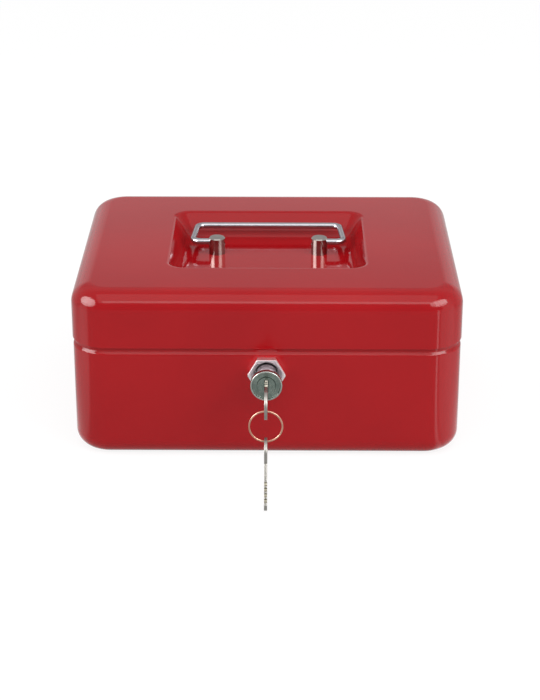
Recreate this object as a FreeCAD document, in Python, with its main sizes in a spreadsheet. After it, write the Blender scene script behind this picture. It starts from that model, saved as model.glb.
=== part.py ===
import FreeCAD, Part
import math
import os
import re
import Sketcher

# Steel cash box with a recessed folding handle and a push-to-lock cylinder.
# Frame: +Z up, origin on the table under the middle of the box, the lock faces -Y.
# All sizes are millimetres. Every driving size is a cell of the sheet called "sizes".

SIZES = {
    # case
    "box_width": 200.0,
    "box_depth": 160.0,
    "box_height": 90.0,
    "split_height": 60.5,
    "rim_gap": 1.4,
    "sheet_steel": 0.8,
    "corner_radius": 19.0,
    "lid_edge_radius": 10.5,
    "base_edge_radius": 8.6,
    "base_inset": 0.3,
    "lip_inset": 1.1,
    "lip_height": 6.2,
    "joggle_height": 1.4,
    "joggle_overlap": 0.4,
    # recess in the lid
    "recess_width": 104.0,
    "recess_length": 87.0,
    "recess_middle": 2.0,
    "recess_depth": 10.5,
    "recess_corner": 9.0,
    "recess_floor_width": 89.0,
    "recess_floor_length": 67.0,
    "recess_floor_corner": 6.0,
    "recess_skin": 1.0,
    "recess_rim_roll": 2.5,
    "recess_floor_roll": 3.0,
    "recess_seam": 4.0,
    # handle and its posts
    "post_spacing": 55.5,
    "post_middle": 7.6,
    "post_radius": 4.35,
    "post_height": 9.2,
    "post_chamfer": 0.5,
    "post_shank_radius": 2.05,
    "post_shank_length": 1.6,
    "post_tail_radius": 3.3,
    "post_tail_height": 0.9,
    "washer_radius": 5.0,
    "fit_gap": 0.05,
    "axle_rise": 6.65,
    "handle_wire_radius": 1.7,
    "handle_axle_width": 82.2,
    "handle_bar_width": 78.6,
    "handle_reach": 25.6,
    "handle_bend": 4.2,
    "handle_stub_inset": 3.2,
    # hinges
    "hinge_spacing": 110.0,
    "hinge_width": 28.0,
    "hinge_axis_out": 2.4,
    "knuckle_radius": 2.2,
    "knuckle_gap": 0.3,
    "base_knuckle_width": 7.0,
    "pin_radius": 1.15,
    "leaf_sheet": 0.9,
    "leaf_height": 16.0,
    "leaf_clearance": 2.6,
    "stop_reach": 3.45,
    "stop_thickness": 1.0,
    # lock, measured outwards from the front wall
    "lock_height": 48.2,
    "bezel_corner_radius": 9.8,
    "bezel_round_radius": 9.6,
    "bezel_depth": 5.6,
    "dish_rim_radius": 8.05,
    "dish_floor": 2.6,
    "sleeve_radius": 7.4,
    "sleeve_length": 17.2,
    "sleeve_step": 2.0,
    "sleeve_step_radius": 6.4,
    "end_cap_thickness": 1.0,
    "wall_hole_radius": 7.5,
    "nut_corner_radius": 10.5,
    "nut_thickness": 3.5,
    "barrel_radius": 5.42,
    "barrel_bore_gap": 0.08,
    "face_out": 18.3,
    "head_radius": 8.0,
    "head_thickness": 3.0,
    "head_chamfer": 0.4,
    "head_rim": 1.1,
    "head_sink": 0.4,
    "collar_in": 2.1,
    "collar_radius": 6.3,
    "collar_thickness": 1.5,
    "bolt_radius": 3.85,
    "bolt_tip_in": 18.6,
    "plug_radius": 4.6,
    "plug_length": 16.9,
    "keyway_width": 2.1,
    "keyway_height": 6.5,
    "keyway_floor": 1.0,
    "wafer_count": 4.0,
    "wafer_first": 4.4,
    "wafer_pitch": 3.0,
    "wafer_thickness": 0.8,
    "wafer_slot": 1.0,
    "wafer_width": 3.9,
    "wafer_height": 8.0,
    "wafer_window_width": 2.4,
    "wafer_window_height": 6.7,
    "spring_wire_radius": 0.3,
    "spring_mean_radius": 5.1,
    "spring_end_gap": 0.3,
    "spring_turns": 5.0,
    # catch that hangs from the lid behind the lock
    "catch_in": 21.0,
    "catch_sheet": 1.2,
    "catch_width": 22.0,
    "catch_below_axis": 9.0,
    "catch_hole_radius": 6.0,
    "catch_flange": 14.0,
    # keys and their ring
    "key_length": 35.8,
    "key_thickness": 1.5,
    "key_bow_radius": 7.2,
    "key_hole_radius": 2.5,
    "key_hole_wall": 1.5,
    "key_neck_height": 8.0,
    "key_shoulder": 20.0,
    "key_blade_height": 6.2,
    "key_tip_length": 2.2,
    "key_tip_height": 1.8,
    "key_cut_half_width": 1.0,
    "key_cut_floor": 0.35,
    "key_inserted": 6.7,
    "ring_wire_radius": 0.5,
    "ring_outer_diameter": 17.3,
    "ring_mouth_angle": 8.0,
    "ring_clearance": 0.1,
    "spare_key_lean": 29.8,
    # coin tray
    "tray_width": 193.0,
    "tray_front": 50.0,
    "tray_back": 75.0,
    "tray_corner": 12.0,
    "tray_floor_height": 34.0,
    "tray_flange_width": 197.2,
    "tray_flange_length": 105.0,
    "tray_flange_corner": 5.0,
    "tray_flange_thickness": 1.6,
    "tray_seat_gap": 0.05,
    "tray_wall": 2.0,
    "coin_well_count": 5.0,
    "coin_well_length": 55.0,
    "large_well_count": 3.0,
    "tray_inner_corner": 10.0,
    "tray_floor_roll": 3.0,
    "divider_drop": 3.0,
    "divider_gap": 0.1,
}

# Depths of the cuts along one edge of each key, from the shoulder to the tip.
KEY_CUT_DEPTHS = (0.9, 1.5, 0.6, 1.2)
KEY_CUT_FIRST = 3.0
KEY_CUT_PITCH = 2.7

doc = FreeCAD.newDocument("cash_box")
sheet = doc.addObject("Spreadsheet::Sheet", "sizes")
for row, (alias, value) in enumerate(SIZES.items(), start=1):
    sheet.set(f"A{row}", alias)
    sheet.set(f"B{row}", str(value))
    sheet.setAlias(f"B{row}", alias)
doc.recompute()

# Longer relations used by several pieces, written with the sheet's names.
FRONT_WALL = "(base_inset - box_depth / 2)"
BACK_WALL = "(box_depth / 2 - base_inset)"
SHOULDER = "(split_height - rim_gap)"
FLOOR = "(box_height - recess_depth)"
AXLE = "(box_height - recess_depth + axle_rise)"
HINGE_Y = "(box_depth / 2 + hinge_axis_out)"
HINGE_Z = "(split_height - rim_gap / 2)"
LIP_TOP = "(split_height - rim_gap + lip_height)"
TRAY_TOP = f"({LIP_TOP} + tray_seat_gap + tray_flange_thickness)"
DIVIDER_FOOT = "(tray_floor_height + tray_wall + divider_gap)"
DIVIDER_HEIGHT = f"({TRAY_TOP} - divider_drop - {DIVIDER_FOOT})"

TURN_TO_X = FreeCAD.Rotation(FreeCAD.Vector(0, 1, 0), 90)
TURN_TO_Y = FreeCAD.Rotation(FreeCAD.Vector(1, 0, 0), -90)
NO_TURN = FreeCAD.Rotation()

nodes = []


def size(alias):
    """The number in one cell of the sheet."""
    return float(sheet.get(alias))


def formula(text):
    """An expression on the sheet's names, with each name sent to its cell."""
    def cell(match):
        word = match.group()
        return "sizes." + word if word in SIZES else word
    return re.sub(r"[a-z][a-z_]*", cell, str(text))


def bind(thing, relations):
    for path, text in relations.items():
        thing.setExpression(path, formula(text))


def place(thing, at, turn=NO_TURN):
    thing.Placement = FreeCAD.Placement(FreeCAD.Vector(), turn)
    for letter, text in zip("xyz", at):
        bind(thing, {f"Placement.Base.{letter}": text})


def node(thing, label):
    """Names a finished piece and keeps it for the export."""
    thing.Label = label
    nodes.append(thing)
    return thing


def cylinder(name, radius, height, at, turn=NO_TURN):
    thing = doc.addObject("Part::Cylinder", name)
    bind(thing, {"Radius": radius, "Height": height})
    place(thing, at, turn)
    return thing


def cone(name, radius_one, radius_two, height, at, turn=NO_TURN):
    thing = doc.addObject("Part::Cone", name)
    bind(thing, {"Radius1": radius_one, "Radius2": radius_two, "Height": height})
    place(thing, at, turn)
    return thing


def block(name, width, depth, height, at):
    """A box given by its size and the middle of its X side, its front and its bottom."""
    thing = doc.addObject("Part::Box", name)
    bind(thing, {"Length": width, "Width": depth, "Height": height})
    place(thing, (f"({at[0]}) - ({width}) / 2", at[1], at[2]))
    return thing


def hexagon(name, corner_radius, height, at):
    thing = doc.addObject("Part::Prism", name)
    thing.Polygon = 6
    bind(thing, {"Circumradius": corner_radius, "Height": height})
    place(thing, at, TURN_TO_Y)
    return thing


def fuse(name, *shapes):
    thing = doc.addObject("Part::MultiFuse", name)
    thing.Shapes = list(shapes)
    thing.Refine = True
    return thing


def cut(name, base, *tools):
    thing = doc.addObject("Part::Cut", name)
    thing.Base = base
    thing.Tool = tools[0] if len(tools) == 1 else fuse(name + "_tools", *tools)
    return thing


def group(name, shapes):
    thing = doc.addObject("Part::Compound", name)
    thing.Links = list(shapes)
    return thing


def origin_plane(body, role):
    return next(feature for feature in body.Origin.OriginFeatures if feature.Role == role)


def new_sketch(body, name, role="XY_Plane", offset=None):
    sketch = body.newObject("Sketcher::SketchObject", name)
    sketch.AttachmentSupport = [(origin_plane(body, role), "")]
    sketch.MapMode = "FlatFace"
    for letter, text in (offset or {}).items():
        bind(sketch, {f"AttachmentOffset.Base.{letter}": text})
    return sketch


def add_rounded_rectangle(sketch, name, width, depth, radius):
    """Four lines and four arcs about the sketch's origin, drawn at any size and then sized by the sheet."""
    first = sketch.GeometryCount
    half_width, half_depth, round_radius = 15.0, 12.0, 3.0
    inner_x, inner_y = half_width - round_radius, half_depth - round_radius

    def point(x, y):
        return FreeCAD.Vector(x, y, 0)

    ends = (
        (point(-inner_x, -half_depth), point(inner_x, -half_depth)),
        (point(half_width, -inner_y), point(half_width, inner_y)),
        (point(inner_x, half_depth), point(-inner_x, half_depth)),
        (point(-half_width, inner_y), point(-half_width, -inner_y)),
    )
    for start, end in ends:
        sketch.addGeometry(Part.LineSegment(start, end))
    centres = ((inner_x, -inner_y), (inner_x, inner_y), (-inner_x, inner_y), (-inner_x, -inner_y))
    for quarter, (x, y) in enumerate(centres):
        circle = Part.Circle(point(x, y), FreeCAD.Vector(0, 0, 1), round_radius)
        start = math.radians(90 * (quarter - 1))
        sketch.addGeometry(Part.ArcOfCircle(circle, start, start + math.pi / 2))
    for side in range(4):
        line, arc, following = first + side, first + 4 + side, first + (side + 1) % 4
        sketch.addConstraint(Sketcher.Constraint("Tangent", line, 2, arc, 1))
        sketch.addConstraint(Sketcher.Constraint("Tangent", arc, 2, following, 1))
        sketch.addConstraint(Sketcher.Constraint("Vertical" if side % 2 else "Horizontal", line))
    for arc in (5, 6, 7):
        sketch.addConstraint(Sketcher.Constraint("Equal", first + 4, first + arc))
    bottom, right, top, left = first, first + 1, first + 2, first + 3
    named = [
        ("width", Sketcher.Constraint("DistanceX", left, 1, right, 1, 2 * half_width), width),
        ("depth", Sketcher.Constraint("DistanceY", bottom, 1, top, 1, 2 * half_depth), depth),
        ("radius", Sketcher.Constraint("Radius", first + 4, round_radius), radius),
    ]
    sketch.addConstraint(Sketcher.Constraint("Symmetric", first + 4, 3, first + 6, 3, -1, 1))
    for label, constraint, text in named:
        index = sketch.addConstraint(constraint)
        sketch.renameConstraint(index, f"{name}_{label}")
        bind(sketch, {f"Constraints.{name}_{label}": text})


def rounded_sketch(body, name, width, depth, radius, height, middle_y="0"):
    sketch = new_sketch(body, name, offset={"y": middle_y, "z": height})
    add_rounded_rectangle(sketch, "outline", width, depth, radius)
    return sketch


def ring_sketch(body, name, outer_inset, inner_inset, height):
    """Two rounded rectangles inside the base's outline, for a frame that runs round the case."""
    sketch = new_sketch(body, name, offset={"z": height})
    for label, inset in (("outer", outer_inset), ("inner", inner_inset)):
        around = f"2 * (base_inset + {inset})"
        add_rounded_rectangle(sketch, label, f"box_width - {around}", f"box_depth - {around}",
                              f"corner_radius - base_inset - ({inset})")
    return sketch


def circle_sketch(body, name, radius, role="XY_Plane", offset=None):
    sketch = new_sketch(body, name, role, offset)
    sketch.addGeometry(Part.Circle(FreeCAD.Vector(), FreeCAD.Vector(0, 0, 1), 1.0))
    sketch.addConstraint(Sketcher.Constraint("Coincident", 0, 3, -1, 1))
    index = sketch.addConstraint(Sketcher.Constraint("Radius", 0, 1.0))
    sketch.renameConstraint(index, "radius")
    bind(sketch, {"Constraints.radius": radius})
    return sketch


def pad(body, name, sketch, length, midplane=False):
    feature = body.newObject("PartDesign::Pad", name)
    feature.Profile = sketch
    feature.Midplane = midplane
    bind(feature, {"Length": length})
    return feature


def pocket(body, name, sketch, length):
    """Cuts against the sketch's normal and makes sure that it took something away."""
    doc.recompute()
    before = body.Shape.Volume
    feature = body.newObject("PartDesign::Pocket", name)
    feature.Profile = sketch
    bind(feature, {"Length": length})
    doc.recompute()
    if body.Shape.Volume > before - 0.01:
        raise RuntimeError(f"{name} cut nothing")
    return feature


def round_edges_at(body, name, height, radius, within=None):
    """Rounds the edges that lie at one height, or those of them inside a plan box."""
    doc.recompute()
    base = body.Tip
    picked = []
    for number, edge in enumerate(base.Shape.Edges, start=1):
        box = edge.BoundBox
        level = abs(box.ZMin - height) < 0.01 and abs(box.ZMax - height) < 0.01
        if level and (within is None or within.isInside(FreeCAD.BoundBox(box))):
            picked.append(f"Edge{number}")
    feature = body.newObject("PartDesign::Fillet", name)
    feature.Base = (base, picked)
    bind(feature, {"Radius": radius})
    doc.recompute()
    return feature


def hollow(body, name, open_height):
    """Leaves a skin of sheet steel, open at the flat face that lies at one height."""
    doc.recompute()
    base = body.Tip
    boxes = [face.BoundBox for face in base.Shape.Faces]
    opened = [f"Face{number}" for number, box in enumerate(boxes, start=1)
              if box.ZLength < 0.01 and abs(box.ZMin - open_height) < 0.01]
    feature = body.newObject("PartDesign::Thickness", name)
    feature.Base = (base, opened)
    feature.Reversed = True
    bind(feature, {"Value": "sheet_steel"})
    doc.recompute()
    return feature


def make_base_shell():
    body = doc.addObject("PartDesign::Body", "base_shell_body")
    outside = rounded_sketch(body, "base_outline", "box_width - 2 * base_inset", "box_depth - 2 * base_inset",
                             "corner_radius - base_inset", "0")
    pad(body, "base_block", outside, SHOULDER)
    round_edges_at(body, "base_bottom_edge", 0.0, "base_edge_radius")
    hollow(body, "base_hollow", size("split_height") - size("rim_gap"))
    joggle = ring_sketch(body, "joggle_outline", "joggle_overlap", "lip_inset + sheet_steel",
                         f"{SHOULDER} - joggle_height")
    pad(body, "joggle", joggle, "joggle_height")
    lip = ring_sketch(body, "lip_outline", "lip_inset", "lip_inset + sheet_steel", SHOULDER)
    pad(body, "lip", lip, "lip_height")
    hole = circle_sketch(body, "lock_hole_outline", "wall_hole_radius", "XZ_Plane",
                         {"y": "lock_height", "z": "box_depth / 2 + sheet_steel"})
    pocket(body, "lock_hole", hole, "4 * sheet_steel")
    node(body, "base_shell")


def make_lid_shell():
    body = doc.addObject("PartDesign::Body", "lid_shell_body")
    outside = rounded_sketch(body, "lid_outline", "box_width", "box_depth", "corner_radius", "split_height")
    pad(body, "lid_block", outside, "box_height - split_height")
    round_edges_at(body, "lid_top_edge", size("box_height"), "lid_edge_radius")
    hollow(body, "lid_hollow", size("split_height"))
    opening = rounded_sketch(body, "lid_opening_outline", "recess_width + 2 * recess_seam",
                             "recess_length + 2 * recess_seam", "recess_corner + recess_seam",
                             "box_height + sheet_steel", "recess_middle")
    pocket(body, "lid_opening", opening, "3 * sheet_steel")
    node(body, "lid_shell")


def make_lid_recess():
    """Pressed pan let into the lid's top: a rolled rim, leaning walls and the holes for the posts."""
    body = doc.addObject("PartDesign::Body", "lid_recess_body")
    edge = "2 * (recess_seam - fit_gap)"
    rim = rounded_sketch(body, "rim_outline", f"recess_width + {edge}", f"recess_length + {edge}",
                         "recess_corner + recess_seam - fit_gap", "box_height - sheet_steel", "recess_middle")
    pad(body, "rim_plate", rim, "sheet_steel")
    skin = "2 * recess_skin"
    tub = body.newObject("PartDesign::AdditiveLoft", "recess_tub")
    tub.Profile = rounded_sketch(body, "tub_top", f"recess_width + {skin}", f"recess_length + {skin}",
                                 "recess_corner + recess_skin", "box_height - sheet_steel / 2",
                                 "recess_middle")
    tub.Sections = [rounded_sketch(body, "tub_bottom", f"recess_floor_width + {skin}",
                                   f"recess_floor_length + {skin}", "recess_floor_corner + recess_skin",
                                   f"{FLOOR} - sheet_steel", "recess_middle")]
    doc.recompute()
    sunk = body.newObject("PartDesign::SubtractiveLoft", "recess")
    sunk.Profile = rounded_sketch(body, "recess_top", "recess_width", "recess_length", "recess_corner",
                                  "box_height", "recess_middle")
    sunk.Sections = [rounded_sketch(body, "recess_floor", "recess_floor_width", "recess_floor_length",
                                    "recess_floor_corner", FLOOR, "recess_middle")]
    half_width, half_length = size("recess_width") / 2, size("recess_length") / 2
    low = FreeCAD.Vector(-half_width, size("recess_middle") - half_length, 0)
    high = FreeCAD.Vector(half_width, size("recess_middle") + half_length, size("box_height"))
    inside = FreeCAD.BoundBox(low, high)
    inside.enlarge(size("recess_seam") / 2)
    floor_height = size("box_height") - size("recess_depth")
    round_edges_at(body, "recess_floor_edge", floor_height, "recess_floor_roll", inside)
    round_edges_at(body, "recess_rim", size("box_height"), "recess_rim_roll", inside)
    for side, sign in (("left", "-"), ("right", "")):
        hole = circle_sketch(body, f"post_hole_outline_{side}", "post_shank_radius + fit_gap",
                             offset={"x": f"{sign}post_spacing / 2", "y": "post_middle",
                                     "z": f"{FLOOR} + sheet_steel"})
        pocket(body, f"post_hole_{side}", hole, "3 * sheet_steel")
    node(body, "lid_recess")


def make_handle_posts():
    washers = []
    for side, sign in (("left", "-"), ("right", "")):
        x = f"{sign}post_spacing / 2"
        tail = f"{FLOOR} - post_shank_length - post_tail_height"
        column = cylinder(f"post_column_{side}", "post_radius", "post_height - post_chamfer",
                          (x, "post_middle", FLOOR))
        crown = cone(f"post_crown_{side}", "post_radius", "post_radius - post_chamfer", "post_chamfer",
                     (x, "post_middle", f"{FLOOR} + post_height - post_chamfer"))
        shank = cylinder(f"post_shank_{side}", "post_shank_radius", "post_shank_length + post_tail_height",
                         (x, "post_middle", tail))
        head = cylinder(f"post_tail_{side}", "post_tail_radius", "post_tail_height", (x, "post_middle", tail))
        whole = fuse(f"post_whole_{side}", column, crown, shank, head)
        eye = cylinder(f"post_eye_{side}", "handle_wire_radius + fit_gap", "4 * post_radius",
                       (f"{x} - 2 * post_radius", "post_middle", AXLE), TURN_TO_X)
        node(cut(f"post_cut_{side}", whole, eye), f"handle_post_{side}")
        disc = cylinder(f"washer_disc_{side}", "washer_radius", "post_shank_length - sheet_steel",
                        (x, "post_middle", f"{FLOOR} - post_shank_length"))
        bore = cylinder(f"washer_bore_{side}", "post_shank_radius + fit_gap", "post_shank_length",
                        (x, "post_middle", f"{FLOOR} - post_shank_length"))
        washers.append(cut(f"washer_{side}", disc, bore))
    node(group("post_washer_pair", washers), "post_washers")


def rounded_path(sketch, points, radius):
    """Lines through the points, with each corner rounded by a tangent arc."""
    start = points[0]
    for before, corner, after in zip(points, points[1:], points[2:]):
        into = (before - corner).normalize()
        onward = (after - corner).normalize()
        half = into.getAngle(onward) / 2
        middle = corner + (into + onward).normalize() * (radius / math.sin(half))
        first = corner + into * (radius / math.tan(half))
        last = corner + onward * (radius / math.tan(half))
        inward = (corner - middle).normalize() * radius
        sketch.addGeometry(Part.LineSegment(start, first))
        sketch.addGeometry(Part.Arc(first, middle + inward, last))
        start = last
    sketch.addGeometry(Part.LineSegment(start, points[-1]))


def make_handle():
    """Bent wire: two stubs in the posts, two arms and the grip bar, folded flat to the back."""
    body = doc.addObject("PartDesign::Body", "handle_body")
    route = new_sketch(body, "handle_route", offset={"y": "post_middle", "z": AXLE})
    stub = size("post_spacing") / 2 - size("handle_stub_inset")
    axle, bar = size("handle_axle_width") / 2, size("handle_bar_width") / 2
    reach = size("handle_reach")
    corners = ((-stub, 0), (-axle, 0), (-bar, reach), (bar, reach), (axle, 0), (stub, 0))
    rounded_path(route, [FreeCAD.Vector(x, y, 0) for x, y in corners], size("handle_bend"))
    section = circle_sketch(body, "handle_section", "handle_wire_radius", "YZ_Plane",
                            {"x": "post_middle", "y": AXLE, "z": "handle_stub_inset - post_spacing / 2"})
    pipe = body.newObject("PartDesign::AdditivePipe", "handle_wire")
    pipe.Profile = section
    pipe.Spine = (route, [f"Edge{number + 1}" for number in range(route.GeometryCount)])
    node(body, "handle")


def make_hinges():
    """Two butt hinges outside the back wall, each with three knuckles, a pin and a stop on the lid's leaf."""
    inner_width = "(hinge_width - 2 * base_knuckle_width)"
    for side, sign in (("left", "-"), ("right", "")):
        x = f"({sign}hinge_spacing / 2)"
        left_end = f"{x} - hinge_width / 2"
        bore = cylinder(f"hinge_bore_{side}", "pin_radius + fit_gap", "hinge_width + 2",
                        (f"{left_end} - 1", HINGE_Y, HINGE_Z), TURN_TO_X)
        plate = block(f"base_leaf_plate_{side}", "hinge_width", "leaf_sheet", "leaf_height",
                      (x, BACK_WALL, f"{HINGE_Z} - leaf_height"))
        room = block(f"base_leaf_room_{side}", f"{inner_width} + 2 * knuckle_gap", "2 * hinge_axis_out",
                     "2 * leaf_clearance", (x, BACK_WALL, f"{HINGE_Z} - leaf_clearance"))
        open_plate = cut(f"base_leaf_open_{side}", plate, room)
        first = cylinder(f"base_knuckle_first_{side}", "knuckle_radius", "base_knuckle_width",
                         (left_end, HINGE_Y, HINGE_Z), TURN_TO_X)
        last = cylinder(f"base_knuckle_last_{side}", "knuckle_radius", "base_knuckle_width",
                        (f"{x} + hinge_width / 2 - base_knuckle_width", HINGE_Y, HINGE_Z), TURN_TO_X)
        whole = fuse(f"base_leaf_whole_{side}", open_plate, first, last)
        node(cut(f"base_leaf_{side}", whole, bore), f"hinge_leaf_base_{side}")

        lid_plate = block(f"lid_leaf_plate_{side}", "hinge_width", "leaf_sheet", "leaf_height",
                          (x, "box_depth / 2", HINGE_Z))
        gaps = []
        for end, edge in (("first", "-1"), ("last", "1")):
            middle = f"{x} + ({edge}) * (hinge_width - base_knuckle_width) / 2"
            gaps.append(block(f"lid_leaf_room_{end}_{side}", "base_knuckle_width + 2 * knuckle_gap",
                              "2 * hinge_axis_out", "2 * leaf_clearance",
                              (middle, "box_depth / 2", f"{HINGE_Z} - leaf_clearance")))
        lid_open = cut(f"lid_leaf_open_{side}", lid_plate, *gaps)
        middle_width = f"{inner_width} - 2 * knuckle_gap"
        knuckle = cylinder(f"lid_knuckle_{side}", "knuckle_radius", middle_width,
                           (f"{x} - ({middle_width}) / 2", HINGE_Y, HINGE_Z), TURN_TO_X)
        stop = block(f"lid_stop_{side}", middle_width, "stop_reach", "stop_thickness",
                     (x, HINGE_Y, f"{HINGE_Z} - stop_thickness / 2"))
        lid_whole = fuse(f"lid_leaf_whole_{side}", lid_open, knuckle, stop)
        node(cut(f"lid_leaf_{side}", lid_whole, bore), f"hinge_leaf_lid_{side}")
        pin = cylinder(f"pin_{side}", "pin_radius", "hinge_width", (left_end, HINGE_Y, HINGE_Z), TURN_TO_X)
        node(pin, f"hinge_pin_{side}")


def lock_place(outward):
    """A point on the lock's axis, a distance outwards from the front wall."""
    return ("0", f"{FRONT_WALL} - ({outward})", "lock_height")


def lock_cylinder(name, radius, front, length):
    return cylinder(name, radius, length, lock_place(front), TURN_TO_Y)


def make_lock_housing():
    """Dished six-sided bezel with a sleeve through the wall, its nut and the cap that closes it."""
    prism = hexagon("bezel_hexagon", "bezel_corner_radius", "bezel_depth", lock_place("bezel_depth"))
    rounder = lock_cylinder("bezel_rounder", "bezel_round_radius", "bezel_depth", "bezel_depth")
    bezel = doc.addObject("Part::Common", "bezel")
    bezel.Base = prism
    bezel.Tool = rounder
    sleeve = lock_cylinder("sleeve", "sleeve_radius", "dish_floor", "dish_floor + sleeve_length")
    whole = fuse("housing_whole", bezel, sleeve)
    guide = "barrel_radius + barrel_bore_gap"
    dish = cone("dish", "dish_rim_radius", guide, "bezel_depth - dish_floor", lock_place("bezel_depth"),
                TURN_TO_Y)
    bore = lock_cylinder("sleeve_bore", guide, "bezel_depth", "bezel_depth + sleeve_length")
    step = lock_cylinder("sleeve_step_bore", "sleeve_step_radius", "-sleeve_step", "sleeve_length")
    node(cut("housing", whole, dish, bore, step), "lock_housing")
    nut_body = hexagon("nut_hexagon", "nut_corner_radius", "nut_thickness", lock_place("-sheet_steel"))
    nut_bore = lock_cylinder("nut_bore", "sleeve_radius + fit_gap", "0", "2 * nut_thickness")
    node(cut("nut", nut_body, nut_bore), "lock_nut")
    cap_disc = lock_cylinder("end_cap_disc", "sleeve_radius", "-sleeve_length", "end_cap_thickness")
    cap_hole = lock_cylinder("end_cap_hole", "bolt_radius + barrel_bore_gap", "-sleeve_length",
                             "end_cap_thickness")
    node(cut("end_cap", cap_disc, cap_hole), "lock_end_cap")


def make_plunger():
    """Barrel, stop collar and bolt in one turned piece, the head pressed on it and its spring."""
    face = "face_out - head_sink"
    barrel = lock_cylinder("barrel", "barrel_radius", face, f"{face} + collar_in")
    collar = lock_cylinder("collar", "collar_radius", "-collar_in", "collar_thickness")
    bolt = lock_cylinder("bolt", "bolt_radius", "-collar_in", "bolt_tip_in - collar_in")
    whole = fuse("plunger_whole", barrel, collar, bolt)
    bore = lock_cylinder("plug_bore", "plug_radius + fit_gap", "face_out",
                         "head_sink + plug_length + fit_gap")
    node(cut("plunger", whole, bore), "lock_plunger")

    front_cone = cone("head_front", "head_radius - head_chamfer", "head_radius", "head_chamfer",
                      lock_place("face_out"), TURN_TO_Y)
    disc = lock_cylinder("head_disc", "head_radius", "face_out - head_chamfer",
                         "head_thickness - 2 * head_chamfer")
    back_cone = cone("head_back", "head_radius", "head_radius - head_chamfer", "head_chamfer",
                     lock_place("face_out - head_thickness + head_chamfer"), TURN_TO_Y)
    head = fuse("head_whole", front_cone, disc, back_cone)
    sink = lock_cylinder("head_sink_cut", "head_radius - head_rim", "face_out", "head_sink")
    hole = lock_cylinder("head_hole", "barrel_radius + fit_gap", "face_out", "2 * head_thickness")
    node(cut("head", head, sink, hole), "lock_head")

    collar_back = "(collar_in + collar_thickness)"
    spring_start = f"-{collar_back} - spring_end_gap - spring_wire_radius"
    length = f"(sleeve_length - {collar_back} - 2 * spring_end_gap - 2 * spring_wire_radius)"
    helix = doc.addObject("Part::Helix", "spring_helix")
    bind(helix, {"Radius": "spring_mean_radius", "Height": length, "Pitch": f"{length} / spring_turns"})
    place(helix, lock_place(spring_start), TURN_TO_Y)
    wire = doc.addObject("Part::RegularPolygon", "spring_wire")
    wire.Polygon = 8
    bind(wire, {"Circumradius": "spring_wire_radius"})
    place(wire, ("spring_mean_radius", *lock_place(spring_start)[1:]))
    doc.recompute()
    spring = doc.addObject("Part::Sweep", "spring")
    spring.Sections = [wire]
    spring.Spine = (helix, [f"Edge{number + 1}" for number in range(len(helix.Shape.Edges))])
    spring.Solid = True
    spring.Frenet = True
    node(spring, "plunger_spring")


def make_plug():
    """Turning plug with its keyway, and the wafers that the key lines up."""
    front = "face_out - head_sink"
    core = lock_cylinder("plug_core", "plug_radius", front, "plug_length")
    keyway = block("keyway", "keyway_width", "plug_length - keyway_floor", "keyway_height",
                   ("0", f"{FRONT_WALL} - ({front})", "lock_height - keyway_height / 2"))
    slots, wafers = [], []
    for number in range(int(size("wafer_count"))):
        middle = f"{FRONT_WALL} - ({front}) + wafer_first + {number} * wafer_pitch"
        slots.append(block(f"wafer_slot_{number}", "wafer_width + 2 * fit_gap", "wafer_slot",
                           "3 * plug_radius",
                           ("0", f"{middle} - wafer_slot / 2", "lock_height - 1.5 * plug_radius")))
        blank = block(f"wafer_blank_{number}", "wafer_width", "wafer_thickness", "wafer_height",
                      ("0", f"{middle} - wafer_thickness / 2", "lock_height - wafer_height / 2"))
        window = block(f"wafer_window_{number}", "wafer_window_width", "wafer_thickness",
                       "wafer_window_height", ("0", f"{middle} - wafer_thickness / 2",
                                               "lock_height - wafer_window_height / 2"))
        wafers.append(cut(f"wafer_{number}", blank, window))
    node(cut("plug", core, keyway, *slots), "lock_plug")
    node(group("wafer_set", wafers), "lock_wafers")


def make_catch():
    """Bent strip under the lid's top, with the hole that the pressed bolt goes through."""
    front = f"{FRONT_WALL} + catch_in"
    bottom = "lock_height - catch_below_axis"
    top = "box_height - sheet_steel"
    strip = block("catch_strip", "catch_width", "catch_sheet", f"{top} - ({bottom})", ("0", front, bottom))
    flange = block("catch_flange_plate", "catch_width", "catch_flange", "catch_sheet",
                   ("0", front, f"{top} - catch_sheet"))
    hole = cylinder("catch_hole", "catch_hole_radius", "4 * catch_sheet",
                    ("0", f"{front} - catch_sheet", "lock_height"), TURN_TO_Y)
    node(cut("catch", fuse("catch_whole", strip, flange), hole), "lid_catch")


def key_outline(sketch):
    """Side view of a key along the sketch's x, from the end of the bow to the tip, with its ring hole."""
    bow, neck, blade = size("key_bow_radius"), size("key_neck_height") / 2, size("key_blade_height") / 2
    shoulder, length = size("key_shoulder"), size("key_length")
    tip_start, tip = length - size("key_tip_length"), size("key_tip_height") / 2
    neck_start = bow + math.sqrt(bow ** 2 - neck ** 2)
    upper = [(neck_start, neck), (shoulder, neck), (shoulder, blade)]
    for number, depth in enumerate(KEY_CUT_DEPTHS):
        middle = shoulder + KEY_CUT_FIRST + number * KEY_CUT_PITCH
        wide, narrow = size("key_cut_half_width"), size("key_cut_floor")
        upper += [(middle - wide, blade), (middle - narrow, blade - depth),
                  (middle + narrow, blade - depth), (middle + wide, blade)]
    upper += [(tip_start, blade), (length, tip)]
    lower = [(length, -tip), (tip_start, -blade), (shoulder, -blade), (shoulder, -neck), (neck_start, -neck)]
    points = [FreeCAD.Vector(x, y, 0) for x, y in upper + lower]
    for start, end in zip(points, points[1:]):
        sketch.addGeometry(Part.LineSegment(start, end))
    sketch.addGeometry(Part.Arc(points[-1], FreeCAD.Vector(0, 0, 0), points[0]))
    hole = FreeCAD.Vector(size("key_hole_wall") + size("key_hole_radius"), 0, 0)
    sketch.addGeometry(Part.Circle(hole, FreeCAD.Vector(0, 0, 1), size("key_hole_radius")))


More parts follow.
